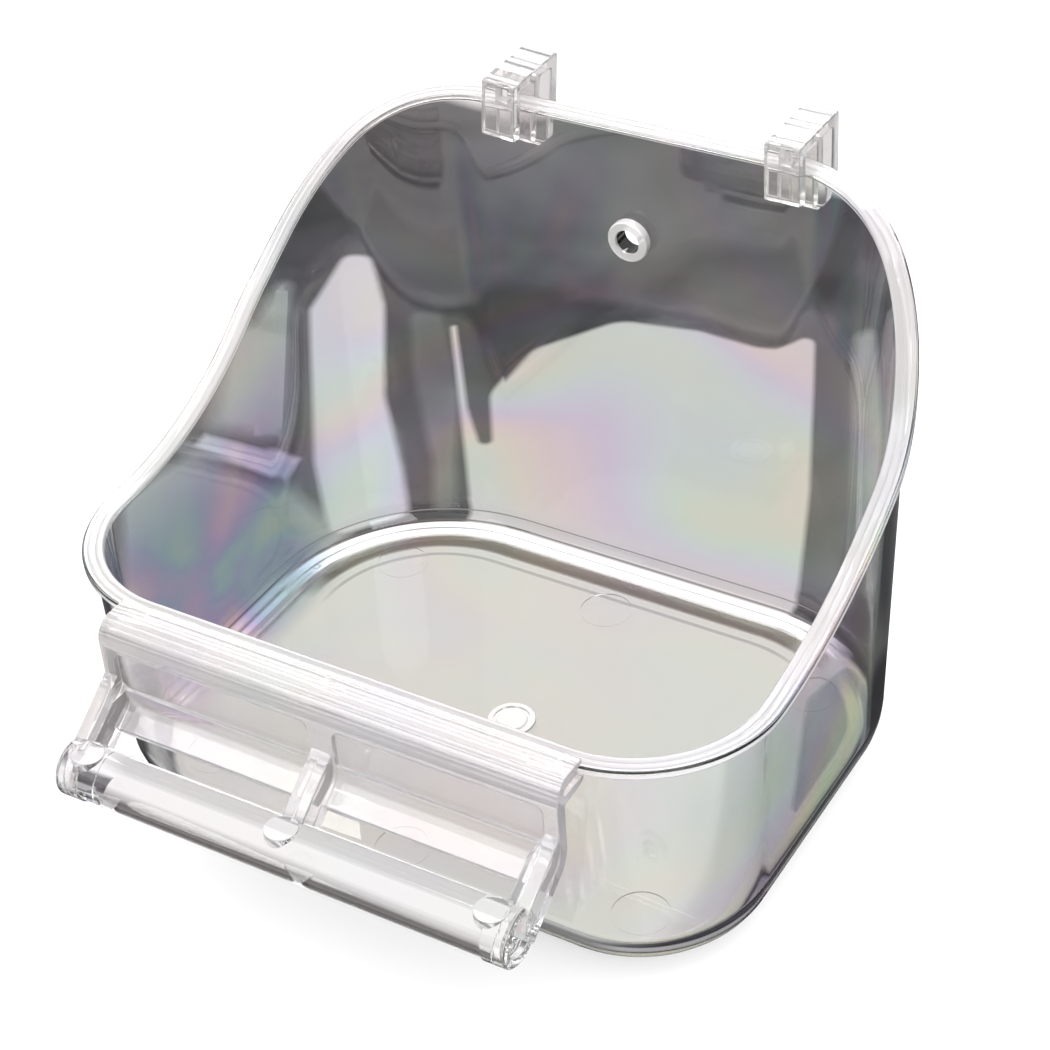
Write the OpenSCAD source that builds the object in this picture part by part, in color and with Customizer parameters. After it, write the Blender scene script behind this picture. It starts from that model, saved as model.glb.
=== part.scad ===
// Clear clip-on bird bath for a cage: a moulded tub with a high back, a perch
// bracket that sits over the front rim, and two hooks that straddle the back
// rim and a cage wire. Millimetres. Front is -Y, the cage is at +Y, +Z is up.
// The origin is on the underside of the floor, at the moulding gate.

/* [Tub plan, measured inside at the front rim] */
// Half of the inside width
tub_hw = 62; // [56:0.5:66]
// From the gate to the inside of the front wall
tub_front = 44.5; // [40:0.5:48]
// From the gate to the inside of the back wall
tub_back = 50.2; // [46:0.5:54]
// Inside radius of the front corners
front_r = 21.7; // [18:0.1:26]
// Inside radius of the back corners
back_r = 32.8; // [26:0.1:36]
// Growth of the width with height, per mm
draft_x = 0.00048; // [0:0.00002:0.0006]
// Growth towards the front with height, per mm
draft_f = 0.00032; // [0:0.00002:0.0006]
// Growth towards the back with height, per mm
draft_b = 0.00048; // [0:0.00002:0.0006]

/* [Tub wall and rim] */
// Wall thickness
wall = 2.2; // [1.8:0.1:2.6]
// Floor thickness
floor_t = 2.2; // [1.8:0.1:2.6]
// Outside radius round the foot of the wall
foot_r = 8.5; // [7:0.1:9]
// Rim width, from the inner edge to the edge of the flange
rim_w = 3.85; // [3.5:0.05:4]
// Rim thickness
rim_t = 1.7; // [1.4:0.1:2]
// Softening of the rim's edges
rim_c = 0.45; // [0.2:0.05:0.6]
// Height of the front rim
front_h = 48; // [44:0.5:50]
// Height at which the sweep of the side would level out
crest_h = 108.3; // [106:0.1:110]
// Where the side starts to rise
rise_y = -24.9; // [-28:0.1:-22]
// Radius of the hollow of the side's sweep
sweep_r = 68.5; // [64:0.1:72]
// Radius of the crown of the side's sweep
crown_r = 49.2; // [47:0.1:52]
// Steepest slope of the side, in degrees
sweep_a = 52.4; // [50:0.1:54]

/* [Hole in the back wall] */
// Height of the hole
hole_z = 76.7; // [70:0.1:84]
// Hole diameter
hole_d = 4.8; // [4:0.1:5.2]
// Diameter of the raised ring round the hole
ring_d = 8; // [7:0.1:9]
// Height of the ring above the inside of the wall
ring_h = 1.5; // [1:0.1:2]

/* [Perch bracket] */
// Half of the bracket's width
br_hw = 44; // [43:0.1:45]
// Thickness of the lip that lies on the rim
lip_t = 1.1; // [0.9:0.1:1.4]
// Front face of the bracket's plate
plate_y = -55.3; // [-56:0.1:-54.8]
// Plate thickness
plate_t = 2.3; // [2:0.1:2.6]
// Depth of the sunk panel in the plate's front
panel_d = 0.9; // [0.5:0.1:1.1]
// Slope of the apron and arms, in degrees
arm_a = 28; // [25:1:31]
// Width of each arm
arm_w = 4; // [3:0.1:5]
// Diameter of the perch bar
bar_d = 9.4; // [8.6:0.1:9.8]
// Diameter of the bar's end collars
collar_d = 10; // [9.8:0.1:11]
// Length of each end collar
collar_l = 4.4; // [4:0.1:6]
// How far the bar's ends stand in from the bracket's ends
end_in = 0.7; // [0.4:0.1:1]
// Perch bar's place, front to back
bar_y = -67.2; // [-68:0.1:-66.5]
// Perch bar's height
bar_z = 28.2; // [27.5:0.1:29]

/* [Hooks] */
// Width of a hook
hook_w = 6.7; // [6:0.1:8]
// Left hook's place on the rim
hook_xl = -24.8; // [-29:0.1:-20]
// Lean of the left hook, which sits loose, in degrees
hook_lean = 4.5; // [0:0.5:5]
// Right hook's place on the rim
hook_xr = 31; // [20:0.1:31]
// Height of a hook's top
hook_top = 103.6; // [103:0.1:105]
// Thickness of a hook's bridge
bridge_t = 2.2; // [1.8:0.1:2.4]
// Thickness of the leg inside the tub
leg_in_t = 2.5; // [2:0.1:2.6]
// Thickness of the leg behind the rim
leg_mid_t = 2.2; // [1.4:0.1:2.4]
// Gap for the cage wire
wire_gap = 3.8; // [3:0.1:5]
// Thickness of the outer leg
leg_out_t = 2.4; // [2:0.1:2.8]

/* [Hidden] */
$fn = 64;
// running room between pieces that come apart
gap = 0.35;

// ---- tub -----------------------------------------------------------------
// segments: half of the front, front corner, side, back corner, half of the back
n_f = 4; n_cf = 12; n_s = 14; n_cb = 14; n_b = 3; n_r = 6;

// right half of the plan as [x, y, normal x, normal y], front to back
plan_half = concat(
    [for (i = [0 : n_f - 1]) [(tub_hw - front_r) * i / n_f, -tub_front, 0, -1]],
    [for (i = [0 : n_cf - 1]) let (a = -90 + 90 * i / n_cf)
        [tub_hw - front_r + front_r * cos(a), -tub_front + front_r + front_r * sin(a), cos(a), sin(a)]],
    [for (i = [0 : n_s - 1])
        [tub_hw, -tub_front + front_r + (tub_back - back_r + tub_front - front_r) * i / n_s, 1, 0]],
    [for (i = [0 : n_cb - 1]) let (a = 90 * i / n_cb)
        [tub_hw - back_r + back_r * cos(a), tub_back - back_r + back_r * sin(a), cos(a), sin(a)]],
    [for (i = [0 : n_b]) [(tub_hw - back_r) * (1 - i / n_b), tub_back, 0, 1]]);
plan = concat(plan_half,
    [for (i = [len(plan_half) - 2 : -1 : 1]) let (p = plan_half[i]) [-p[0], p[1], -p[2], p[3]]]);
n_p = len(plan);

// side sweep: level, hollow arc, straight slope, crown arc
sa = sin(sweep_a); ca = cos(sweep_a);
sw_y1 = rise_y + sweep_r * sa;
sw_z1 = front_h + sweep_r * (1 - ca);
sw_l = (crest_h - front_h - (sweep_r + crown_r) * (1 - ca)) / sa;
sw_y2 = sw_y1 + sw_l * ca;
sw_y3 = sw_y2 + crown_r * sa;
function rim_z(y) =
    y <= rise_y ? front_h :
    y < sw_y1 ? front_h + sweep_r - sqrt(pow(sweep_r, 2) - pow(y - rise_y, 2)) :
    y < sw_y2 ? sw_z1 + (y - sw_y1) * sa / ca :
    y < sw_y3 ? crest_h - crown_r + sqrt(pow(crown_r, 2) - pow(sw_y3 - y, 2)) : crest_h;
function rim_slope(y) = (rim_z(y + 0.05) - rim_z(y - 0.05)) / 0.1;

// place of a plan point p moved out by o, at height z, with the draft
function put(p, o, z) = let (x = p[0] + p[2] * o, y = p[1] + p[3] * o, h = z - front_h)
    [x * (1 + draft_x * h), y * (1 + (y < 0 ? draft_f : draft_b) * h), z];

in_r = foot_r - wall;
// section of the shell at one plan point: foot, outer wall, rim, inner wall, floor
function section(p) =
    let (zt = rim_z(p[1]), k = rim_slope(p[1]) * p[2], tv = rim_t * sqrt(1 + k * k), c = rim_c)
    concat(
        [for (i = [0 : n_r]) let (a = 90 * i / n_r)
            put(p, wall - foot_r + foot_r * sin(a), foot_r - foot_r * cos(a))],
        [put(p, wall, zt - tv), put(p, rim_w - c, zt - tv), put(p, rim_w, zt - tv + c), put(p, rim_w, zt - c),
         put(p, rim_w - c, zt), put(p, c, zt), put(p, 0, zt - c)],
        [for (i = [0 : n_r]) let (a = 90 * i / n_r)
            put(p, -in_r + in_r * cos(a), floor_t + in_r - in_r * sin(a))]);
n_q = 2 * (n_r + 1) + 7;

module shell() {
    pts = concat([for (p = plan) each section(p)], [[0, 0, 0], [0, 0, floor_t]]);
    c0 = n_p * n_q;
    sides = [for (i = [0 : n_p - 1], j = [0 : n_q - 2]) let (i2 = (i + 1) % n_p)
        each [[i * n_q + j, i * n_q + j + 1, i2 * n_q + j + 1], [i * n_q + j, i2 * n_q + j + 1, i2 * n_q + j]]];
    foot = [for (i = [0 : n_p - 1]) [c0, i * n_q, ((i + 1) % n_p) * n_q]];
    top = [for (i = [0 : n_p - 1]) [c0 + 1, ((i + 1) % n_p) * n_q + n_q - 1, i * n_q + n_q - 1]];
    polyhedron(points = pts, faces = concat(sides, foot, top), convexity = 8);
}

// inside face of the back wall at the hole
hole_y = tub_back * (1 + draft_b * (hole_z - front_h));

module tub() {
    color([0.93, 0.94, 0.95, 0.4])
    difference() {
        union() {
            shell();
            translate([0, hole_y - ring_h, hole_z]) rotate([-90, 0, 0]) cylinder(d = ring_d, h = ring_h + wall / 2);
        }
        translate([0, hole_y - ring_h - 2, hole_z]) rotate([-90, 0, 0]) cylinder(d = hole_d, h = ring_h + wall + 6);
    }
}

// ---- perch bracket ----------------------------------------------------------
// extrude a [y, z] outline along X from x0 to x1
module along_x(x0, x1) {
    translate([x0, 0, 0]) rotate([90, 0, 90]) linear_extrude(height = x1 - x0) children();
}

lip_z = front_h + gap;
top_z = lip_z + lip_t;
rim_out = tub_front + rim_w;
as = sin(arm_a); ac = cos(arm_a);
// bend where the plate turns into the apron
bend_z = 36.2;
bend_r = 3;
// points of an arc, centre c, radius r, from a0 to a1
function arc(c, r, a0, a1, n = 6) =
    [for (i = [0 : n]) let (a = a0 + (a1 - a0) * i / n) [c[0] + r * cos(a), c[1] + r * sin(a)]];
corner_r = 3.6;
back_y = plate_y + plate_t;
// apron's top line ends here, at the windows
apron_l = 3.2;
bc = [plate_y - bend_r, bend_z];
b_end = [bc[0] + bend_r * as, bc[1] - bend_r * ac];
apron_end = [b_end[0] - apron_l * ac, b_end[1] - apron_l * as];

// where the upper and lower jaws of the rim groove end
jaw_y = -rim_out + 1;
barb_y = -tub_front - wall - gap;
// section of the sheet: upper jaw, top, rounded edge, plate, bend, apron, barb under the rim
sheet = concat(
    [[jaw_y, lip_z], [jaw_y, top_z - 0.4], [jaw_y - 0.4, top_z]],
    arc([plate_y + corner_r, top_z - corner_r], corner_r, 90, 180),
    arc(bc, bend_r, 0, -90 + arm_a, 5),
    [apron_end, [apron_end[0] + plate_t * as, apron_end[1] - plate_t * ac]],
    arc(bc, bend_r + plate_t, -90 + arm_a, 0, 6),
    [[back_y, 44.2], [barb_y - 1, 44.6], [barb_y, 45.2], [barb_y, front_h - rim_t - gap],
     [back_y + 0.5, front_h - rim_t - gap], [back_y, front_h - rim_t], [back_y, 46.9], [back_y + 0.6, 47.3],
     [-rim_out - gap, 47.3], [-rim_out - gap, lip_z]]);

// section of an arm: from behind the plate, down the slope, into the bar
arm_top = [[plate_y, 39.4], [bar_y + 1.2, bar_z + 3.6]];
arm = concat(
    [[back_y, 42], [plate_y - 0.02, 42], arm_top[0], arm_top[1], [bar_y, bar_z], [bar_y + 2.6, bar_z - 3.4]],
    arc([back_y - 5.2, 35.6], 5.2, -62, 0, 4));
// section of an end cheek: as an arm, up to the rounded edge
cheek = concat(
    arc([plate_y + corner_r, top_z - corner_r], corner_r, 100, 180, 5),
    [arm_top[0], arm_top[1], [bar_y, bar_z], [bar_y + 2.6, bar_z - 3.4]],
    arc([back_y - 5.2, 35.6], 5.2, -62, 0, 4),
    [[back_y, 47.3], [-rim_out - gap, 47.3], [-rim_out - gap, top_z - 0.2]]);

panel_hw = br_hw - 2.8;
bar_hw = br_hw - end_in;

module perch_bracket() {
    color([0.96, 0.95, 0.96, 0.4])
    difference() {
        union() {
            along_x(-br_hw, br_hw) polygon(sheet);
            along_x(-arm_w / 2, arm_w / 2) polygon(arm);
            for (s = [-1, 1])
                along_x(s > 0 ? br_hw - arm_w : -br_hw, s > 0 ? br_hw : -br_hw + arm_w) polygon(cheek);
            translate([-bar_hw, bar_y, bar_z]) rotate([0, 90, 0]) cylinder(d = bar_d, h = 2 * bar_hw);
            for (s = [-1, 1])
                translate([s > 0 ? bar_hw - collar_l : -bar_hw, bar_y, bar_z]) rotate([0, 90, 0])
                    cylinder(d = collar_d, h = collar_l);
            // flat pads on the bar over the arms
            for (x = [-38.9, 0, 38.9])
                translate([x, bar_y - 0.6, bar_z]) cylinder(d = 5.8, h = bar_d / 2 + 0.3);
        }
        // sunk panel in the plate's front, either side of the middle arm
        for (s = [-1, 1])
            translate([s > 0 ? arm_w / 2 : -panel_hw, plate_y - 5, bend_z + 0.6])
                cube([panel_hw - arm_w / 2, 5 + panel_d, 44.4 - bend_z - 0.6]);
        // shallow round recess in each end of the bar
        for (s = [-1, 1])
            translate([s > 0 ? bar_hw - 1.2 : -bar_hw - 1, bar_y, bar_z]) rotate([0, 90, 0])
                cylinder(d = 6.4, h = 2.2);
    }
}

// ---- hooks ------------------------------------------------------------------
back_rim_z = rim_z(tub_back);
draft_top = 1 + draft_b * (back_rim_z - front_h);
// the tub's back wall inside, at the lowest point of the inner leg
leg_z = 92.4;
wall_in = tub_back * (1 + draft_b * (leg_z - front_h));
flange_out = (tub_back + rim_w) * draft_top;
leg_in_y1 = wall_in - gap;
leg_in_y0 = leg_in_y1 - leg_in_t;
leg_mid_y0 = flange_out + gap;
leg_mid_y1 = leg_mid_y0 + leg_mid_t;
leg_out_y0 = leg_mid_y1 + wire_gap;
leg_out_y1 = leg_out_y0 + leg_out_t;
under = hook_top - bridge_t;
leg_mid_z = 89;
leg_out_z = 85;

module hook(x) {
    difference() {
        union() {
            // inner leg, bridge and the two legs behind the rim, in one outline
            along_x(x - hook_w / 2, x + hook_w / 2)
                polygon([
                    [leg_in_y0 + 0.6, leg_z], [leg_in_y0, leg_z + 0.6], [leg_in_y0, hook_top - 0.8],
                    [leg_in_y0 + 0.8, hook_top], [leg_out_y1 - 0.8, hook_top], [leg_out_y1, hook_top - 0.8],
                    [leg_out_y1, leg_out_z + 0.6], [leg_out_y1 - 0.6, leg_out_z], [leg_out_y0 + 0.6, leg_out_z],
                    [leg_out_y0, leg_out_z + 0.6], [leg_out_y0, under], [leg_mid_y1, under],
                    [leg_mid_y1, leg_mid_z + 0.5], [leg_mid_y1 - 0.5, leg_mid_z], [leg_mid_y0, leg_mid_z],
                    [leg_mid_y0, under], [leg_in_y1, under], [leg_in_y1, leg_z]]);
            // seat rib that stands on the rim
            translate([x - 1.2, leg_in_y1 - 0.5, back_rim_z + gap])
                cube([2.4, leg_mid_y0 - leg_in_y1 + 1, under - back_rim_z - gap + 0.5]);
        }
        // cut corners at the foot of the outer leg
        for (s = [-1, 1])
            translate([x + s * hook_w / 2, leg_out_y0 - 1, leg_out_z]) rotate([0, 45, 0])
                translate([-1.5, 0, -1.5]) cube([3, leg_out_t + 2, 3]);
    }
}

module hook_left() {
    color([0.95, 0.95, 0.96, 0.4])
    translate([hook_xl, 0, back_rim_z]) rotate([0, hook_lean, 0]) translate([-hook_xl, 0, -back_rim_z]) hook(hook_xl);
}
module hook_right() { color([0.95, 0.95, 0.96, 0.4]) hook(hook_xr); }

tub();
perch_bracket();
hook_left();
hook_right();
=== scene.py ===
import math

import bmesh
import bpy
from mathutils import Matrix, Vector


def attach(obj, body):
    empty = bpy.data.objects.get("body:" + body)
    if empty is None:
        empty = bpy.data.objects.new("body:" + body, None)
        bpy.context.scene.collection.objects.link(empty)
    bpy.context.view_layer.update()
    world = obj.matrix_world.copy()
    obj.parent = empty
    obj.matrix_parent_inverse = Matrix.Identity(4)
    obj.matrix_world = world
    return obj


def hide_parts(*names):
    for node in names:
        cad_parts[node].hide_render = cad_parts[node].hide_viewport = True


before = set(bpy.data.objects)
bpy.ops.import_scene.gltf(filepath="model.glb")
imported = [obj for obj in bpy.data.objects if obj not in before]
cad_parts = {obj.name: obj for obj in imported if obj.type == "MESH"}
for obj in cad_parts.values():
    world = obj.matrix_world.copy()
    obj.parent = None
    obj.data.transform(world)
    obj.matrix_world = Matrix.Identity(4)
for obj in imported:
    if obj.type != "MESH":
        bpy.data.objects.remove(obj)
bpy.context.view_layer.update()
scene = bpy.context.scene
MM = 0.001

# ---------------------------------------------------------------------------
# camera, at the photograph's viewing angle
# ---------------------------------------------------------------------------
CAM_POS = Vector((194.204, -289.709, 308.620))
CAM_AIM = Vector((1.251, 7.357, 42.424))
CAM_ROLL = math.radians(-4.224)


def make_camera():
    data = bpy.data.cameras.new("camera")
    data.sensor_width = 36.0
    data.lens = 86.543
    data.clip_start, data.clip_end = 0.01, 20.0
    cam = bpy.data.objects.new("camera", data)
    scene.collection.objects.link(cam)
    back = (CAM_POS - CAM_AIM).normalized()
    right = Vector((0, 0, 1)).cross(back).normalized()
    up = back.cross(right)
    r = math.cos(CAM_ROLL) * right + math.sin(CAM_ROLL) * up
    u = -math.sin(CAM_ROLL) * right + math.cos(CAM_ROLL) * up
    cam.matrix_world = Matrix(
        (
            (r.x, u.x, back.x, CAM_POS.x * MM),
            (r.y, u.y, back.y, CAM_POS.y * MM),
            (r.z, u.z, back.z, CAM_POS.z * MM),
            (0, 0, 0, 1),
        )
    )
    scene.camera = cam


make_camera()


# ---------------------------------------------------------------------------
# mesh helpers: everything is worked out in millimetres and made in metres
# ---------------------------------------------------------------------------
def new_object(name, verts, faces, mats=None):
    me = bpy.data.meshes.new(name)
    me.from_pydata([Vector(v) * MM for v in verts], [], faces)
    if mats:
        me.polygons.foreach_set("material_index", mats)
    bm = bmesh.new()
    bm.from_mesh(me)
    bmesh.ops.recalc_face_normals(bm, faces=bm.faces)
    bm.to_mesh(me)
    bm.free()
    ob = bpy.data.objects.new(name, me)
    scene.collection.objects.link(ob)
    return ob


def area2(pts):
    return sum(a[0] * b[1] - b[0] * a[1] for a, b in zip(pts, pts[1:] + pts[:1]))


def fillet(pts, r, n=4):
    """Outline pts, anticlockwise, with its corners rounded. r is one radius, or one for each corner."""
    pts = [Vector(p) for p in pts]
    rs = list(r) if hasattr(r, "__len__") else [r] * len(pts)
    if area2([tuple(p) for p in pts]) < 0:
        pts.reverse()
        rs.reverse()
    out = []
    m = len(pts)
    for i, p in enumerate(pts):
        a, b = pts[i - 1] - p, pts[(i + 1) % m] - p
        la, lb = a.length, b.length
        a, b = a / la, b / lb
        turn = math.pi - a.angle(b)
        if turn < math.radians(9) or rs[i] <= 0:
            out.append(tuple(p))
            continue
        t = min(rs[i] * math.tan(turn / 2), 0.46 * la, 0.46 * lb)
        rad = t / math.tan(turn / 2)
        c = p + (a + b).normalized() * math.hypot(t, rad)
        s, e = p + a * t - c, p + b * t - c
        a0 = math.atan2(s.y, s.x)
        d = math.atan2(s.x * e.y - s.y * e.x, s.dot(e))
        for k in range(n + 1):
            w = a0 + d * k / n
            out.append((c.x + rad * math.cos(w), c.y + rad * math.sin(w)))
    return out


def inset(pts, d):
    """Each point of an anticlockwise outline moved in by d."""
    m = len(pts)
    out = []
    for i in range(m):
        p0, p, p1 = Vector(pts[i - 1]), Vector(pts[i]), Vector(pts[(i + 1) % m])
        e0, e1 = (p - p0), (p1 - p)
        n0 = Vector((-e0.y, e0.x)).normalized() if e0.length > 1e-9 else Vector((0, 0))
        n1 = Vector((-e1.y, e1.x)).normalized() if e1.length > 1e-9 else n0
        n = n0 + n1
        n = n / max(n.length_squared / 2, 0.35)
        out.append((p.x + n.x * d, p.y + n.y * d))
    return out


def prism(name, outline, lo, hi, axis="X", soft=0.25, seg=3):
    """A closed outline pushed along an axis, with softened end edges."""
    pts = [tuple(p) for p in outline]
    if area2(pts) < 0:
        pts.reverse()
    rings = []
    for k in range(seg + 1):
        w = math.pi / 2 * k / seg
        rings.append((lo + soft * (1 - math.sin(w)), soft * (1 - math.cos(w))))
    rings.reverse()
    ends = rings + [(lo + hi - x, d) for x, d in reversed(rings)]
    if soft <= 0:
        ends = [(lo, 0), (hi, 0)]
    verts, faces = [], []
    m = len(pts)
    for x, d in ends:
        for a, b in inset(pts, d) if d > 1e-9 else pts:
            verts.append((x, a, b) if axis == "X" else (a, x, b) if axis == "Y" else (a, b, x))
    for j in range(len(ends) - 1):
        for i in range(m):
            i2 = (i + 1) % m
            faces.append((j * m + i, j * m + i2, (j + 1) * m + i2, (j + 1) * m + i))
    faces.append(tuple(reversed(range(m))))
    faces.append(tuple(range((len(ends) - 1) * m, len(ends) * m)))
    return new_object(name, verts, faces)


def turned(name, profile, cy, cz, n=96, shape=None):
    """A profile of (x, radius) turned about a line along X. It starts and ends on the axis."""
    verts, faces, rows = [], [], []
    for x, r in profile:
        if r < 1e-6:
            rows.append([len(verts)])
            verts.append((x, cy, cz))
            continue
        rows.append(range(len(verts), len(verts) + n))
        for i in range(n):
            a = 2 * math.pi * (i + 0.5) / n
            q = r + (shape(x, a) if shape else 0)
            verts.append((x, cy + q * math.cos(a), cz + q * math.sin(a)))
    for lo, hi in zip(rows, rows[1:]):
        for i in range(n):
            k = (i + 1) % n
            ring = [lo[i % len(lo)], lo[k % len(lo)], hi[k % len(hi)], hi[i % len(hi)]]
            faces.append(tuple(dict.fromkeys(ring)))
    return new_object(name, verts, faces)


def circle(cx, cy, r, n=64):
    return [(cx + r * math.cos(2 * math.pi * i / n), cy + r * math.sin(2 * math.pi * i / n)) for i in range(n)]


def arc(cx, cy, r, a0, a1, n=6):
    return [
        (cx + r * math.cos(math.radians(a0 + (a1 - a0) * i / n)), cy + r * math.sin(math.radians(a0 + (a1 - a0) * i / n)))
        for i in range(n + 1)
    ]


def bake(ob):
    dg = bpy.context.evaluated_depsgraph_get()
    me = bpy.data.meshes.new_from_object(ob.evaluated_get(dg))
    ob.modifiers.clear()
    old = ob.data
    ob.data = me
    bpy.data.meshes.remove(old)


def combine(ob, others, op):
    for o in others:
        mod = ob.modifiers.new("cut", "BOOLEAN")
        mod.object, mod.operation, mod.solver = o, op, "EXACT"
        bpy.context.view_layer.update()
        bake(ob)
        me = o.data
        bpy.data.objects.remove(o)
        bpy.data.meshes.remove(me)
    return ob


def finish_mesh(ob, angle=38):
    bm = bmesh.new()
    bm.from_mesh(ob.data)
    bmesh.ops.remove_doubles(bm, verts=bm.verts, dist=2e-6)
    bmesh.ops.dissolve_degenerate(bm, edges=bm.edges, dist=1e-6)
    bm.to_mesh(ob.data)
    bm.free()
    ob.data.polygons.foreach_set("use_smooth", [True] * len(ob.data.polygons))
    ob.data.set_sharp_from_angle(angle=math.radians(angle))
    mod = ob.modifiers.new("normals", "WEIGHTED_NORMAL")
    mod.keep_sharp = True
    mod.weight = 80


# ---------------------------------------------------------------------------
# materials
# ---------------------------------------------------------------------------
def nodes_of(name):
    mat = bpy.data.materials.new(name)
    mat.use_nodes = True
    nt = mat.node_tree
    nt.nodes.clear()
    out = nt.nodes.new("ShaderNodeOutputMaterial")
    bsdf = nt.nodes.new("ShaderNodeBsdfPrincipled")
    nt.links.new(bsdf.outputs[0], out.inputs[0])
    return mat, nt, bsdf


def add(nt, kind, **kw):
    n = nt.nodes.new(kind)
    for k, v in kw.items():
        setattr(n, k, v)
    return n


def math_node(nt, op, a, b=None, clamp=False):
    n = add(nt, "ShaderNodeMath", operation=op)
    n.use_clamp = clamp
    for i, v in enumerate((a, b)):
        if v is None:
            continue
        if isinstance(v, (int, float)):
            n.inputs[i].default_value = v
        else:
            nt.links.new(v, n.inputs[i])
    return n.outputs[0]


def ramp(nt, fac, stops, mode="LINEAR"):
    n = add(nt, "ShaderNodeValToRGB")
    n.color_ramp.interpolation = mode
    els = n.color_ramp.elements
    while len(els) < len(stops):
        els.new(0.5)
    for e, (p, col) in zip(els, stops):
        e.position = p
        e.color = (*col, 1)
    nt.links.new(fac, n.inputs[0])
    return n.outputs[0]


def mix_color(nt, fac, a, b):
    n = add(nt, "ShaderNodeMix", data_type="RGBA")
    for sock, v in ((n.inputs[0], fac), (n.inputs[6], a), (n.inputs[7], b)):
        if isinstance(v, (int, float)):
            sock.default_value = v
        elif isinstance(v, tuple):
            sock.default_value = (*v, 1)
        else:
            nt.links.new(v, sock)
    return n.outputs[2]


def map_range(nt, v, a, b, c, d):
    n = add(nt, "ShaderNodeMapRange", interpolation_type="SMOOTHSTEP")
    nt.links.new(v, n.inputs["Value"])
    for key, val in (("From Min", a), ("From Max", b), ("To Min", c), ("To Max", d)):
        n.inputs[key].default_value = val
    return n.outputs[0]


def noise(nt, tc, scale, detail, distortion=0.0):
    n = add(nt, "ShaderNodeTexNoise")
    n.inputs["Scale"].default_value = scale
    n.inputs["Detail"].default_value = detail
    n.inputs["Distortion"].default_value = distortion
    nt.links.new(tc.outputs["Object"], n.inputs["Vector"])
    return n.outputs["Fac"]


def clear_plastic(name, tint, sheen, rough, trans, wave, deep_sheen=0.0):
    """Clear moulded polystyrene: painted iridescent sheen in stress-colour hues, a trace of haze and flow ripples."""
    mat, nt, bsdf = nodes_of(name)
    tc = add(nt, "ShaderNodeTexCoord")
    # painted iridescent sheen: slow bands bent by noise, repeating through the interference hues of stress colours
    n1 = noise(nt, tc, 15.0, 1.0, 0.7)
    band = math_node(nt, "FRACT", math_node(nt, "MULTIPLY", n1, 4.0))
    sheen_hues = ramp(
        nt,
        band,
        [
            (0.0, (1.0, 0.79, 0.82)),
            (0.2, (0.86, 0.74, 0.98)),
            (0.4, (0.80, 0.88, 1.0)),
            (0.6, (0.80, 0.98, 0.82)),
            (0.8, (1.0, 0.92, 0.74)),
            (1.0, (1.0, 0.79, 0.82)),
        ],
    )
    amount = math_node(nt, "MULTIPLY", noise(nt, tc, 15.0, 1.0), sheen, clamp=True)
    if deep_sheen:
        sep = add(nt, "ShaderNodeSeparateXYZ")
        nt.links.new(tc.outputs["Object"], sep.inputs[0])
        # the painted sheen is faint on the flat floor
        amount = math_node(nt, "MULTIPLY", amount, map_range(nt, sep.outputs[2], 0.003, 0.012, 0.22, 1))
        # and on the front wall and the top of the back
        amount = math_node(nt, "MULTIPLY", amount, map_range(nt, sep.outputs[1], -0.040, -0.020, 0.25, 1))
        amount = math_node(nt, "MULTIPLY", amount, map_range(nt, sep.outputs[2], 0.055, 0.080, 1, 0.5))
    color = mix_color(nt, amount, tint, sheen_hues)
    if deep_sheen:
        # low on the left side wall, and a little on the right, the painted sheen is deep
        left = map_range(nt, sep.outputs[0], -0.060, -0.050, 1, 0)
        right = map_range(nt, sep.outputs[0], 0.052, 0.060, 0, 0.22)
        low = map_range(nt, sep.outputs[2], 0.030, 0.056, 1, 0)
        fore = map_range(nt, sep.outputs[1], 0.016, 0.034, 1, 0)
        n5 = noise(nt, tc, 30.0, 2.2, 0.6)
        deep_sheen_hues = ramp(
            nt,
            math_node(nt, "FRACT", math_node(nt, "MULTIPLY", n5, 2.6)),
            [
                (0.0, (0.74, 0.47, 0.56)),
                (0.2, (0.44, 0.26, 0.60)),
                (0.42, (0.22, 0.27, 0.58)),
                (0.6, (0.21, 0.42, 0.52)),
                (0.74, (0.36, 0.54, 0.45)),
                (0.88, (0.72, 0.60, 0.50)),
                (1.0, (0.74, 0.47, 0.56)),
            ],
        )
        where = math_node(nt, "MULTIPLY", math_node(nt, "MULTIPLY", low, fore), math_node(nt, "ADD", left, right))
        color = mix_color(nt, math_node(nt, "MULTIPLY", where, deep_sheen), color, deep_sheen_hues)
    nt.links.new(color, bsdf.inputs["Base Color"])
    # haze: a little roughness in faint patches
    r = math_node(nt, "MULTIPLY", noise(nt, tc, 60.0, 4.0), rough)
    nt.links.new(r, bsdf.inputs["Roughness"])
    # flow ripples
    bump = add(nt, "ShaderNodeBump")
    bump.inputs["Strength"].default_value = wave
    bump.inputs["Distance"].default_value = 0.004
    nt.links.new(noise(nt, tc, 34.0, 1.5), bump.inputs["Height"])
    nt.links.new(bump.outputs[0], bsdf.inputs["Normal"])
    bsdf.inputs["IOR"].default_value = 1.57
    bsdf.inputs["Transmission Weight"].default_value = trans
    return mat


# the rim, ring, bracket and hooks let less through than the walls, so part of each shows milky white: painted highlight
# in place of their bright inner reflections
mat_wall = clear_plastic("clear_wall", (0.97, 0.975, 0.97), 1.15, 0.03, 1.0, 0.02, 0.74)
mat_rim = clear_plastic("clear_rim", (0.98, 0.955, 0.965), 0.25, 0.06, 0.55, 0.02)
mat_bracket = clear_plastic("clear_bracket", (0.985, 0.965, 0.965), 0.25, 0.04, 0.8, 0.02)
mat_bar = clear_plastic("clear_bar", (0.985, 0.97, 0.97), 0.2, 0.03, 0.98, 0.02)
mat_ring = clear_plastic("clear_ring", (0.985, 0.965, 0.975), 0.2, 0.08, 0.35, 0.02)
mat_hook = clear_plastic("clear_hook", (0.92, 0.905, 0.905), 0.2, 0.05, 0.88, 0.02)


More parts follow.
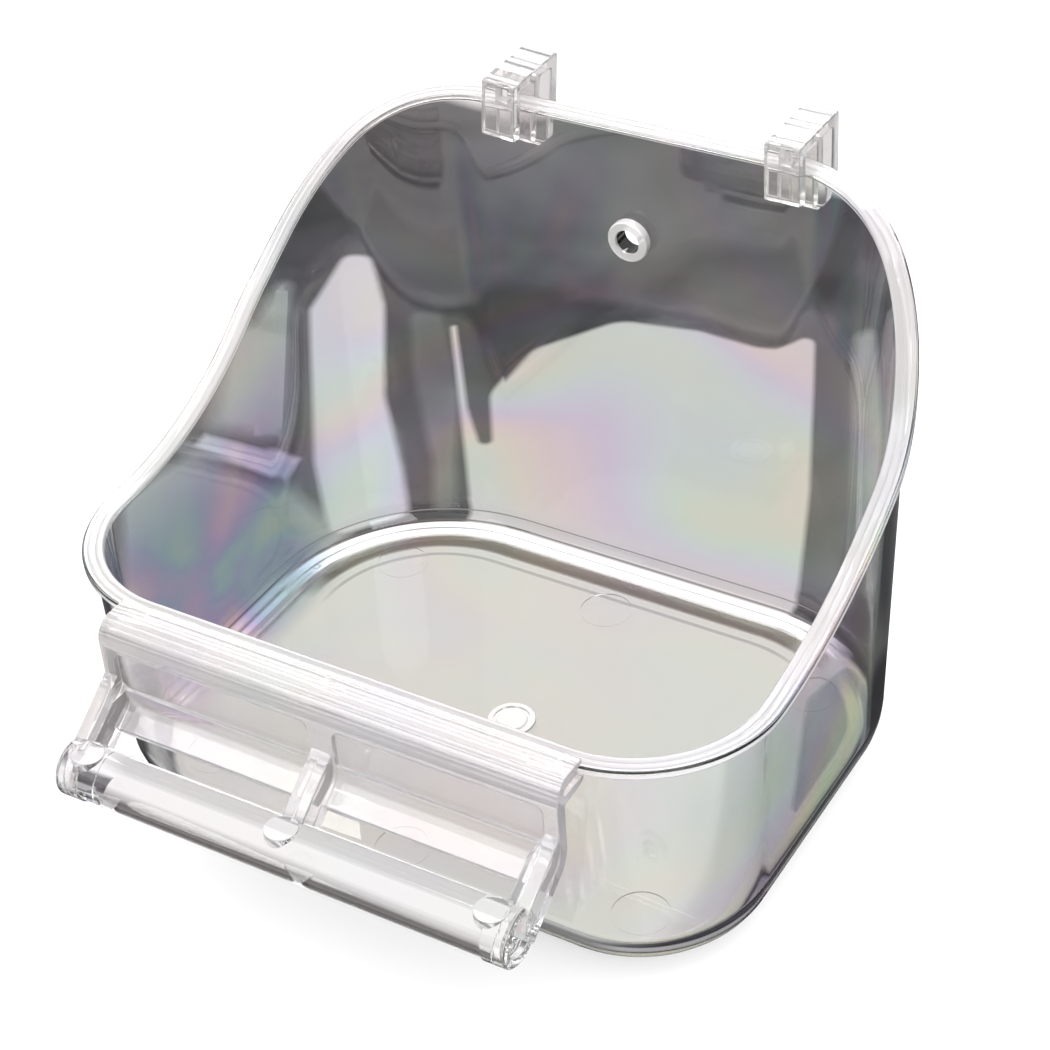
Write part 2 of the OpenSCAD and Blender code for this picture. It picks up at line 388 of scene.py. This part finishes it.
# ---------------------------------------------------------------------------
# tub
# ---------------------------------------------------------------------------
W, DF, DB, RF, RB = 62.0, 44.5, 50.2, 21.7, 32.8
KX, KF, KB = 0.00048, 0.00032, 0.00048
WALL, FLOOR, FOOT = 2.2, 2.2, 8.5
RIM_W, RIM_T, RIM_C = 3.85, 1.7, 0.5
FRONT_H, CREST_H, RISE_Y, SWEEP_R, CROWN_R = 48.0, 108.3, -24.9, 68.5, 49.2
SWEEP_A = math.radians(52.4)


def rim_z(y):
    s, c = math.sin(SWEEP_A), math.cos(SWEEP_A)
    y1, z1 = RISE_Y + SWEEP_R * s, FRONT_H + SWEEP_R * (1 - c)
    ln = (CREST_H - FRONT_H - (SWEEP_R + CROWN_R) * (1 - c)) / s
    y2 = y1 + ln * c
    y3 = y2 + CROWN_R * s
    if y <= RISE_Y:
        return FRONT_H
    if y < y1:
        return FRONT_H + SWEEP_R - math.sqrt(SWEEP_R**2 - (y - RISE_Y) ** 2)
    if y < y2:
        return z1 + (y - y1) * s / c
    if y < y3:
        return CREST_H - CROWN_R + math.sqrt(CROWN_R**2 - (y3 - y) ** 2)
    return CREST_H


def plan(n_f=8, n_cf=30, n_s=40, n_cb=40, n_b=6):
    half = []
    for i in range(n_f):
        half.append(((W - RF) * i / n_f, -DF, 0, -1))
    for i in range(n_cf):
        a = -math.pi / 2 + math.pi / 2 * i / n_cf
        half.append((W - RF + RF * math.cos(a), -DF + RF + RF * math.sin(a), math.cos(a), math.sin(a)))
    for i in range(n_s):
        half.append((W, -DF + RF + (DB - RB + DF - RF) * i / n_s, 1, 0))
    for i in range(n_cb):
        a = math.pi / 2 * i / n_cb
        half.append((W - RB + RB * math.cos(a), DB - RB + RB * math.sin(a), math.cos(a), math.sin(a)))
    for i in range(n_b + 1):
        half.append(((W - RB) * (1 - i / n_b), DB, 0, 1))
    return half + [(-x, y, -nx, ny) for x, y, nx, ny in half[-2:0:-1]]


def put(p, o, z):
    x, y = p[0] + p[2] * o, p[1] + p[3] * o
    h = z - FRONT_H
    return (x * (1 + KX * h), y * (1 + (KF if y < 0 else KB) * h), z)


def tub_section(p):
    """One section of the shell from the foot, up the outside, over the rim and down the inside, as (offset, height)."""
    zt = rim_z(p[1])
    k = (rim_z(p[1] + 0.05) - rim_z(p[1] - 0.05)) / 0.1 * p[2]
    tv = RIM_T * math.sqrt(1 + k * k)
    c, q, s = RIM_C, math.pi / 2, []
    r_in = FOOT - WALL
    for i in range(11):
        s.append((WALL - FOOT + FOOT * math.sin(q * i / 10), FOOT - FOOT * math.cos(q * i / 10), 0))
    top = zt - tv
    for i in range(1, 6):
        s.append((WALL, FOOT + (top - 0.5 - FOOT) * i / 5, 0))
    for i in range(1, 4):  # small root radius under the rim
        a = q * i / 3
        s.append((WALL + 0.5 * (1 - math.cos(a)), top - 0.5 + 0.5 * math.sin(a), 0))
    for i in range(5):
        a = -q + q * i / 4
        s.append((RIM_W - c + c * math.cos(a), top + c + c * math.sin(a), 0))
    for i in range(5):
        a = q * i / 4
        s.append((RIM_W - c + c * math.cos(a), zt - c + c * math.sin(a), 1 if i == 0 else 0))
    for b in (2.75, 1.45):  # fine lines along the top
        s += [(b + 0.25, zt, 1), (b, zt - 0.18, 1), (b - 0.25, zt, 1)]
    for i in range(5):
        a = q + q * i / 4
        s.append((c + c * math.cos(a), zt - c + c * math.sin(a), 1))
    low = FLOOR + r_in
    for i in range(1, 6):
        s.append((0, zt - c + (low - zt + c) * i / 5, 0))
    for i in range(1, 11):
        a = q * i / 10
        s.append((-r_in + r_in * math.cos(a), FLOOR + r_in - r_in * math.sin(a), 0))
    return s


def make_tub():
    stations = plan()
    sections = [tub_section(p) for p in stations]
    n, m = len(stations), len(sections[0])
    verts = [put(p, o, z) for p, s in zip(stations, sections) for o, z, _ in s]
    faces, mats = [], []
    for i in range(n):
        i2 = (i + 1) % n
        for j in range(m - 1):
            faces.append((i * m + j, i2 * m + j, i2 * m + j + 1, i * m + j + 1))
            mats.append(sections[i][j + 1][2])
    faces.append(tuple(i * m for i in reversed(range(n))))
    faces.append(tuple(i * m + m - 1 for i in range(n)))
    mats += [0, 0]
    tub = new_object("bath_tub", verts, faces, mats)
    for m in (mat_wall, mat_rim, mat_ring):
        tub.data.materials.append(m)

    # raised ring and hole in the back wall
    hz = 76.7
    hy = DB * (1 + KB * (hz - FRONT_H))
    ring = prism("ring", circle(0, hz, 4.0, 72), hy - 1.5, hy + 1.1, "Y", 0.35, 4)
    ring.data.materials.append(mat_ring)
    combine(tub, [ring], "UNION")
    cuts = [prism("hole", circle(0, hz, 2.4, 64), hy - 6, hy + 8, "Y", 0)]
    # shallow round marks of the ejector pins on the floor, and the gate in the middle
    for x, y in [(-43.7, -31.1), (43.7, -31.1), (-43.7, 31.1), (43.7, 31.1), (0, -35.7), (0, 35.7)]:
        cuts.append(prism("pin", circle(x, y, 5.0, 72), FLOOR - 0.2, FLOOR + 3, "Z", 0))
    combine(tub, cuts, "DIFFERENCE")
    # the gate: a low ring round a low dome, both rough
    ring_out = prism("gate_ring", circle(0, 0, 4.5, 72), FLOOR - 0.6, FLOOR + 0.4, "Z", 0.3, 4)
    ring_in = prism("gate_gap", circle(0, 0, 3.45, 64), FLOOR - 0.1, FLOOR + 3, "Z", 0)
    dome = prism("gate_dome", circle(0, 0, 2.95, 64), FLOOR - 0.6, FLOOR + 0.35, "Z", 0.45, 5)
    for o, op in ((ring_out, "UNION"), (ring_in, "DIFFERENCE"), (dome, "UNION")):
        o.data.materials.append(mat_ring)
        combine(tub, [o], op)
    finish_mesh(tub)
    # the steps of the marks get the rougher, part-milky ring plastic, so they show white: painted highlight
    for p in tub.data.polygons:
        x, y, z = p.center / MM
        if abs(x) < 50 and abs(y) < 41.5 and 1.5 < z < FLOOR and abs(p.normal.z) < 0.5:
            p.material_index = 2
    return tub


# ---------------------------------------------------------------------------
# perch bracket
# ---------------------------------------------------------------------------
def make_bracket():
    gap = 0.35
    lip_z, top_z = FRONT_H + gap, FRONT_H + gap + 1.1
    rim_out = DF + RIM_W
    py, pt, cr = -55.3, 2.3, 3.6
    by = py + pt
    s, c = math.sin(math.radians(28)), math.cos(math.radians(28))
    bz, br = 36.2, 3.0
    bc = (py - br, bz)
    be = (bc[0] + br * s, bc[1] - br * c)
    ae = (be[0] - 3.2 * c, be[1] - 3.2 * s)
    jaw, barb = -rim_out + 1, -DF - WALL - gap
    sheet = (
        [(jaw, lip_z), (jaw, top_z)]
        + [(y + d, top_z - h) for y in (-48.5, -49.4, -50.3, -51.2) for d, h in ((0.25, 0), (0, 0.1), (-0.25, 0))]
        + [
            (py + cr + (cr - h) * math.cos(math.radians(a)), top_z - cr + (cr - h) * math.sin(math.radians(a)))
            for a, h in [(v, 0.1 if v in (108, 120, 138, 150, 165) else 0) for v in range(90, 181, 3)]
        ]
        + arc(bc[0], bc[1], br, 0, -62, 8)
        + [ae, (ae[0] + pt * s, ae[1] - pt * c)]
        + arc(bc[0], bc[1], br + pt, -62, 0, 10)
        + [(by, 44.2), (barb - 1, 44.6), (barb, 45.2), (barb, FRONT_H - RIM_T - gap), (by, FRONT_H - RIM_T - gap)]
        + [(by, 47.3), (-rim_out - gap, 47.3), (-rim_out - gap, lip_z)]
    )
    bracket = prism("perch_bracket_clear", fillet(sheet, 0.4, 4), -44, 44, "X", 0.28, 4)
    bar_y, bar_z, bar_hw = -67.2, 28.2, 43.3
    foot = arc(by - 5.2, 35.6, 5.2, -62, 0, 8)
    arm = [(by - 0.2, 42), (py + 0.25, 42), (py + 0.1, 39.4), (bar_y + 1.2, bar_z + 3.6), (bar_y, bar_z), (bar_y + 2.6, bar_z - 3.4)] + [
        (a - 0.02, b) for a, b in foot
    ]
    arm = fillet(arm, 0.5, 3)
    parts = [prism("arm_mid", arm, -2, 2, "X", 0.35, 4)]
    for k in (-1, 1):
        x0, x1 = sorted((k * 39.95, k * 43.95))
        parts.append(prism("arm_end", arm, x0, x1, "X", 0.35, 4))
    # bar with a collar and a round recess at each end, and fine mould lines along it
    half = [(0, 0), (42.1, 0), (42.1, 3.2), (43.3, 3.2), (43.3, 5.0), (38.9, 5.0), (38.9, 4.7), (0, 4.7)]
    half = fillet(half, [0, 0, 0.2, 0.2, 0.4, 0.14, 0.12, 0], 4)[1:-1]
    profile = [(-x, r) for x, r in half] + half[::-1]
    lines = [(52, 0.1), (87, 0.08), (100, 0.05), (111, 0.07), (120, 0.05), (134, 0.11), (147, 0.05), (200, 0.1)]
    lines += [(236, 0.1), (262, 0.1), (288, 0.1), (318, 0.1)]

    def mould_lines(x, a):
        if abs(x) > 38.7:
            return 0
        return -sum(h * math.exp(-((math.remainder(a - math.radians(b), 2 * math.pi) / 0.05) ** 2)) for b, h in lines)

    parts.append(turned("bar", profile, bar_y, bar_z, 240, mould_lines))
    for x in (-38.9, 0, 38.9):
        parts.append(prism("pad", circle(x, bar_y - 0.6, 2.9, 64), bar_z, bar_z + 5.0, "Z", 0.15, 3))
    combine(bracket, parts, "UNION")
    cuts = []
    hw = 41.2
    for k in (-1, 1):
        x0, x1 = sorted((k * 2.4, k * hw))
        z0, z1 = bz + 0.4, 44.4
        box = [(x0, z0), (x1, z0), (x1, z1), (x0, z1)]
        cuts.append(prism("panel", fillet(box, 1.6, 6), py - 5, py + 0.9, "Y", 0.2, 2))
    for x in (-39.3, 0, 39.3):
        cuts.append(prism("pin", circle(x, -50.9, 2.6, 64), top_z - 0.05, top_z + 2, "Z", 0))
    combine(bracket, cuts, "DIFFERENCE")
    finish_mesh(bracket)
    for m in (mat_bracket, mat_bar):
        bracket.data.materials.append(m)
    for p in bracket.data.polygons:
        x, y, z = p.center / MM
        p.material_index = int(abs(x) < bar_hw + 0.02 and math.hypot(y - bar_y, z - bar_z) < 5.02)
    return bracket


# ---------------------------------------------------------------------------
# hooks
# ---------------------------------------------------------------------------
def make_hook(name, x, lean):
    gap, top, bridge = 0.35, 103.6, 2.2
    rim = rim_z(DB)
    leg_z, mid_z, out_z = 92.4, 89.0, 85.0
    in1 = DB * (1 + KB * (leg_z - FRONT_H)) - gap
    in0 = in1 - 2.5
    mid0 = (DB + RIM_W) * (1 + KB * (rim - FRONT_H)) + gap
    mid1 = mid0 + 2.2
    out0 = mid1 + 3.8
    out1 = out0 + 2.4
    under = top - bridge
    # fine sink lines across the top, over the sides of the legs
    lines = [(y + d, top - h) for y in (in1, mid0, mid1, out0 - 0.2) for d, h in ((-0.28, 0), (0, 0.14), (0.28, 0))]
    pts = [(in0, leg_z), (in0, top)] + lines + [
        (out1, top), (out1, out_z), (out0, out_z), (out0, under),
        (mid1, under), (mid1, mid_z), (mid0, mid_z), (mid0, under), (in1, under), (in1, leg_z),
    ]  # fmt: skip
    rs = [0.6, 0.8] + [0] * len(lines) + [0.8, 0.7, 0.7, 0.5, 0.5, 0.6, 0.6, 0.5, 0.5, 0.6]
    hw = 3.35
    hook = prism(name, fillet(pts, rs, 5), x - hw, x + hw, "X", 0.3, 4)
    rib = [(in1 - 0.4, rim + gap), (mid0 + 0.4, rim + gap), (mid0 + 0.4, under + 0.3), (in1 - 0.4, under + 0.3)]
    combine(hook, [prism("rib", rib, x - 1.2, x + 1.2, "X", 0.15, 2)], "UNION")
    cuts = []
    for k in (-1, 1):
        cx = x + k * hw
        tri = [(cx - k * 2.1, out_z - 1), (cx + k * 2, out_z - 1), (cx + k * 2, out_z + 2.1), (cx, out_z + 2.1), (cx - k * 2.1, out_z)]
        cuts.append(prism("corner", tri, out0 - 1, out1 + 1, "Y", 0))
    combine(hook, cuts, "DIFFERENCE")
    if lean:
        pivot = Vector((x, 0, rim)) * MM
        hook.data.transform(
            Matrix.Translation(pivot) @ Matrix.Rotation(math.radians(lean), 4, "Y") @ Matrix.Translation(-pivot)
        )
    finish_mesh(hook)
    return hook


tub = make_tub()
bracket = make_bracket()
hook_l = make_hook("hook_left_clear", -24.8, 4.5)
hook_r = make_hook("hook_right_clear", 31.0, 0)


def dress(ob, body, node, mat=None):
    if mat:
        ob.data.materials.clear()
        ob.data.materials.append(mat)
    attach(ob, body)
    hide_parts(node)
    ob.visible_shadow = False


dress(tub, "tub", "tub")
dress(bracket, "perch_bracket", "perch_bracket")
dress(hook_l, "hook_left", "hook_left", mat_hook)
dress(hook_r, "hook_right", "hook_right", mat_hook)


# ---------------------------------------------------------------------------
# studio: pale floor, soft lights, glowing cards that only the clear plastic sees, which paint light and shade into it
# ---------------------------------------------------------------------------
def stage_mesh(name, verts, faces):
    me = bpy.data.meshes.new(name)
    me.from_pydata([Vector(v) * MM for v in verts], [], faces)
    ob = bpy.data.objects.new(name, me)
    scene.collection.objects.link(ob)
    return ob


def plane(name, verts, z):
    return stage_mesh(name, [(x, y, z) for x, y in verts], [tuple(range(len(verts)))])


def plain(name, color):
    mat, nt, bsdf = nodes_of(name)
    bsdf.inputs["Base Color"].default_value = (*color, 1)
    bsdf.inputs["Roughness"].default_value = 0.9
    bsdf.inputs["Specular IOR Level"].default_value = 0.0
    return mat


def glow(ob, color, mottle=0.0, glossy=True, transmission=True):
    """Makes ob a glowing card of fixed brightness that paints light and shade into the plastic. The camera, shadows and
    paper don't see it, only the plastic does.
    """
    mat = bpy.data.materials.new(ob.name)
    mat.use_nodes = True
    nt = mat.node_tree
    nt.nodes.clear()
    out = add(nt, "ShaderNodeOutputMaterial")
    light = add(nt, "ShaderNodeEmission")
    light.inputs[0].default_value = (*color, 1)
    if mottle:
        tc = add(nt, "ShaderNodeTexCoord")
        nt.links.new(map_range(nt, noise(nt, tc, 14.0, 3.0, 0.5), 0.3, 0.7, 1 - mottle, 1 + mottle), light.inputs[1])
    shown = light.outputs[0]
    if "fade" in ob.data.attributes:
        mix = add(nt, "ShaderNodeMixShader")
        nt.links.new(add(nt, "ShaderNodeAttribute", attribute_name="fade").outputs["Fac"], mix.inputs[0])
        nt.links.new(add(nt, "ShaderNodeBsdfTransparent").outputs[0], mix.inputs[1])
        nt.links.new(shown, mix.inputs[2])
        shown = mix.outputs[0]
    nt.links.new(shown, out.inputs[0])
    ob.data.materials.append(mat)
    ob.visible_camera = False
    ob.visible_diffuse = False
    ob.visible_shadow = False
    ob.visible_glossy = glossy
    ob.visible_transmission = transmission


def card(name, outline, z, color, soft, mottle=0.0):
    """A flat card on the table with a soft edge."""
    pts = [tuple(p) for p in outline]
    if area2(pts) < 0:
        pts.reverse()
    n = len(pts)
    ob = stage_mesh(
        name,
        [(x, y, z) for x, y in pts + inset(pts, soft)],
        [(i, (i + 1) % n, n + (i + 1) % n, n + i) for i in range(n)] + [tuple(range(n, 2 * n))],
    )
    ob.data.attributes.new("fade", "FLOAT", "POINT").data.foreach_set("value", [0.0] * n + [1.0] * n)
    glow(ob, color, mottle)


def ribbon(name, rows, o0, o1, z, color, soft):
    """A narrow card on the table that follows the foot of the bath, from offset o0 to o1."""
    verts, fade, faces = [], [], []
    for i, p in enumerate(rows):
        end = min(1.0, i / 8, (len(rows) - 1 - i) / 8)
        for o, f in ((o0, 0), (o0 + soft, 1), (o1 - soft, 1), (o1, 0)):
            x, y, _ = put(p, o, 0)
            verts.append((x, y, z))
            fade.append(f * end)
    for i in range(len(rows) - 1):
        for j in range(3):
            a = 4 * i + j
            faces.append((a, a + 1, a + 5, a + 4))
    ob = stage_mesh(name, verts, faces)
    ob.data.attributes.new("fade", "FLOAT", "POINT").data.foreach_set("value", fade)
    glow(ob, color)


floor = plane("floor", [(-4000, -4000), (4000, -4000), (4000, 4000), (-4000, 4000)], -0.8)
floor.data.materials.append(plain("floor_paper", (0.93, 0.93, 0.93)))

# painted light and shade that only the plastic sees: a dark sheet behind and to the left of the bath, with paler
# glowing patches on it, and a dark band round the room
ring_n = 48
ring = [(900 * math.cos(2 * math.pi * i / ring_n), 900 * math.sin(2 * math.pi * i / ring_n)) for i in range(ring_n)]
band = stage_mesh(
    "surround_dark",
    [(x, y, -0.5) for x, y in ring] + [(x, y, 170) for x, y in ring],
    [(i, (i + 1) % ring_n, ring_n + (i + 1) % ring_n, ring_n + i) for i in range(ring_n)],
)
glow(band, (0.075, 0.062, 0.060))

# painted shade: through the plastic the floor is a little darker than it is, and dark further out
turn = [(math.cos(2 * math.pi * i / 64), math.sin(2 * math.pi * i / 64)) for i in range(64)]
seen = stage_mesh("floor_seen", [(3500 * x, 3500 * y, -0.75) for x, y in turn], [tuple(range(64))])
glow(seen, (0.95, 0.95, 0.95))
far = stage_mesh(
    "shade_far",
    [(r * x, r * y, -0.72) for r in (310, 380, 3400) for x, y in turn],
    [(64 * k + i, 64 * k + (i + 1) % 64, 64 * k + 64 + (i + 1) % 64, 64 * k + 64 + i) for k in (0, 1) for i in range(64)],
)
far.data.attributes.new("fade", "FLOAT", "POINT").data.foreach_set("value", [0.0] * 64 + [1.0] * 128)
glow(far, (0.16, 0.155, 0.16), 0.4)

shade_sheet = [(-70, -48), (48, -48), (70, -46), (118, -20), (118, 60), (70, 208), (-40, 212), (-52, 232), (-106, 232), (-116, 214), (-185, 214), (-185, -20)]
card("shade_sheet", fillet(shade_sheet, 14, 6), -0.70, (0.095, 0.092, 0.098), 6, 0.5)
# a near-black card under the bath's foot: painted shade seen through the floor
foot = [(-64, -50), (64, -50), (74, -40), (74, 56), (-64, 56)]
card("shade_foot", fillet(foot, 16, 6), -0.60, (0.038, 0.036, 0.040), 6)
grey = [(-116, 20), (-112, 49), (-84, 47), (-58, 38), (-56, -26), (-92, -12)]
card("glow_grey", fillet(grey, 6, 5), -0.50, (0.42, 0.42, 0.42), 5)
card("glow_pale", fillet([(-134, 86), (-138, 128), (-96, 64), (-92, 56), (-113, 52)], 8, 5), -0.48, (0.36, 0.37, 0.37), 7, 0.25)
streak = [(-120, 104), (-126, 130), (-118, 133), (-102, 115), (-82, 84), (-63, 62), (-52, 48), (-64, 32), (-84, 54), (-102, 79)]
card("glow_left", fillet(streak, 5, 5), -0.45, (0.64, 0.64, 0.66), 2)
dim = [(-50, 50), (-60, 66), (-80, 90), (-98, 116), (-88, 120), (-66, 92), (-55, 72), (-44, 54)]
card("glow_dim", fillet(dim, 4, 4), -0.46, (0.21, 0.21, 0.215), 2.5, 0.5)
card("glow_strip", [(-111, 47.5), (-84, 44.5), (-86, 55), (-112, 54)], -0.42, (0.60, 0.60, 0.62), 2)
back = [(-44, 40), (32, 40), (32, 57), (19, 93), (-5, 150), (-12, 136), (-31, 137), (-50, 133), (-62, 114), (-61, 94), (-46, 70), (-62, 88), (-82, 116), (-84, 114), (-52, 68), (-41, 52)]
card("glow_back", fillet(back, 9, 6), -0.40, (0.66, 0.63, 0.63), 1.5)
card("glow_right", fillet([(40, 62), (27, 96), (4, 152), (14, 160), (36, 118), (50, 70)], 5, 5), -0.41, (0.34, 0.35, 0.34), 4, 0.4)
# pale glowing cards under the bath and under the perch bar: painted light seen through the floor and the bar
card("glow_under", fillet([(-58, -42), (58, -42), (58, 48), (-58, 48)], 20, 8), -0.35, (0.71, 0.69, 0.645), 1.5)
card("glow_bar", fillet([(-58, -90), (58, -90), (58, -48), (-58, -48)], 8, 5), -0.66, (0.66, 0.655, 0.65), 7)

# painted light and shade: glowing light and dark lines on the table, seen only by the plastic, that the rounded foot
# bends into view
foot_all = plan()
foot_back = [p for p in foot_all if (p[0] < 0 and p[1] > 14) or (p[0] >= 0 and p[0] < 47 and p[1] > 24)]
foot_left = [p for p in foot_all if p[0] < -50 and -28 < p[1] < 26]
foot_right = [p for p in foot_all if p[0] > 30 and -50 < p[1] < 45]
ribbon("line_white", foot_back, -1.5, 3.7, -0.25, (1.3, 1.3, 1.32), 0.4)
ribbon("line_mid", foot_back, 0.7, 1.5, -0.24, (0.40, 0.40, 0.42), 0.3)
ribbon("line_brown", foot_back, -6.6, -1.7, -0.26, (0.14, 0.11, 0.08), 0.8)
ribbon("line_grey", foot_back, -9.3, -8.1, -0.27, (0.40, 0.39, 0.38), 0.5)
ribbon("line_edge", foot_back, 3.9, 4.9, -0.28, (0.14, 0.11, 0.10), 0.4)
ribbon("line_top", foot_back, 8.6, 9.4, -0.28, (0.30, 0.28, 0.28), 0.3)
ribbon("left_pale", foot_left, -2.8, 8.0, -0.31, (0.62, 0.57, 0.55), 0.6)
ribbon("left_white", foot_left, -0.5, 1.5, -0.25, (1.0, 1.0, 1.03), 0.4)
ribbon("left_lilac", foot_left, 1.6, 2.3, -0.26, (0.24, 0.22, 0.27), 0.3)
ribbon("left_light", foot_left, 2.4, 4.9, -0.27, (0.82, 0.82, 0.84), 0.5)
ribbon("left_grey", foot_left, 5.0, 5.8, -0.28, (0.22, 0.20, 0.20), 0.3)
ribbon("right_pale", foot_right, -5.8, -2.2, -0.25, (0.74, 0.74, 0.58), 0.8)
ribbon("right_grey", foot_right, -2.0, 1.0, -0.26, (0.40, 0.39, 0.42), 0.8)
# a grey-teal glowing patch under the right wall, seen only by the plastic: painted shade
teal = [(42.5, 31), (45.5, 44), (50, 42), (53.5, 32), (54.8, 20), (55, 2), (53, 3)]
card("under_teal", fillet(teal, 3, 5), -0.30, (0.38, 0.41, 0.40), 1.0, 0.2)


# painted shade and light in the perch bar: a dark and a pale glowing strip, upright and close behind the perch bar,
# seen only by the plastic
def strip(name, y, rows, color):
    ob = stage_mesh(
        name,
        [(x, y, z) for z, _ in rows for x in (-38.6, 38.6)],
        [(2 * i, 2 * i + 1, 2 * i + 3, 2 * i + 2) for i in range(len(rows) - 1)],
    )
    ob.data.attributes.new("fade", "FLOAT", "POINT").data.foreach_set("value", [f for _, f in rows for _ in (0, 1)])
    glow(ob, color)


strip("strip_dark", -62.9, [(23.2, 0), (23.5, 0.35), (23.75, 0.6), (23.95, 1), (25.4, 1)], (0.024, 0.014, 0.011))
strip("strip_pale", -61.5, [(18.8, 0), (19.4, 1), (22.9, 1), (23.8, 0)], (0.88, 0.87, 0.86))
# a dark card under the bar, seen only in the plastic's reflections: painted dark reflection
under = stage_mesh("bar_mirror", [(-64, -86, -0.2), (34, -86, -0.2), (34, -54, -0.2), (-64, -54, -0.2)], [(0, 1, 2, 3)])
glow(under, (0.05, 0.045, 0.045), transmission=False)

# a light frame above and behind, mirrored by the flat tops of the rim, bracket and hooks
frame_z = [118, 136, 176, 235]
frame_x = [-235, -118, 4, 60]
pts = [(x, 100, z) for z in frame_z for x in frame_x]
frame_card = stage_mesh(
    "frame_light",
    pts,
    [(r * 4 + c, r * 4 + c + 1, r * 4 + c + 5, r * 4 + c + 4) for r in range(3) for c in range(3) if (r, c) != (1, 1)],
)
glow(frame_card, (7.0, 7.0, 7.2), transmission=False)

# a light panel up at the front left, mirrored by the sloping rim and by rounded edges
at, across = Vector((-420, -360, 620)), Vector((0.65, -0.76, 0))
rise = at.normalized().cross(across)
sides = [at + 450 * (a * across + b * rise) for a, b in ((-1, -1), (1, -1), (1, 1), (-1, 1))]
glow(stage_mesh("panel_light", [tuple(p) for p in sides], [(0, 1, 2, 3)]), (2.2, 2.2, 2.25), transmission=False)

world = bpy.data.worlds.new("studio")
scene.world = world
world.use_nodes = True
world.node_tree.nodes["Background"].inputs[0].default_value = (1, 1, 1, 1)
world.node_tree.nodes["Background"].inputs[1].default_value = 0.85


def area(name, pos, aim, size, power, color=(1, 1, 1)):
    data = bpy.data.lights.new(name, "AREA")
    data.shape = "RECTANGLE"
    data.size, data.size_y = size
    data.energy = power
    data.color = color
    ob = bpy.data.objects.new(name, data)
    scene.collection.objects.link(ob)
    ob.location = Vector(pos)
    ob.rotation_euler = (Vector(aim) - Vector(pos)).to_track_quat("-Z", "Y").to_euler()
    return ob


area("key", (-0.44, -0.16, 0.86), (0, 0, 0.04), (0.6, 0.5), 4.5)
area("top", (0.1, 0.25, 0.9), (0, 0, 0.04), (0.9, 0.6), 4.5)
area("fill", (0.7, -0.5, 0.6), (0, 0, 0.04), (0.5, 0.5), 2.0)

scene.view_settings.view_transform = "Standard"
scene.view_settings.look = "None"
scene.cycles.max_bounces = 40
scene.cycles.transmission_bounces = 40
scene.cycles.glossy_bounces = 16
scene.cycles.transparent_max_bounces = 16
scene.cycles.caustics_reflective = False
scene.cycles.caustics_refractive = False
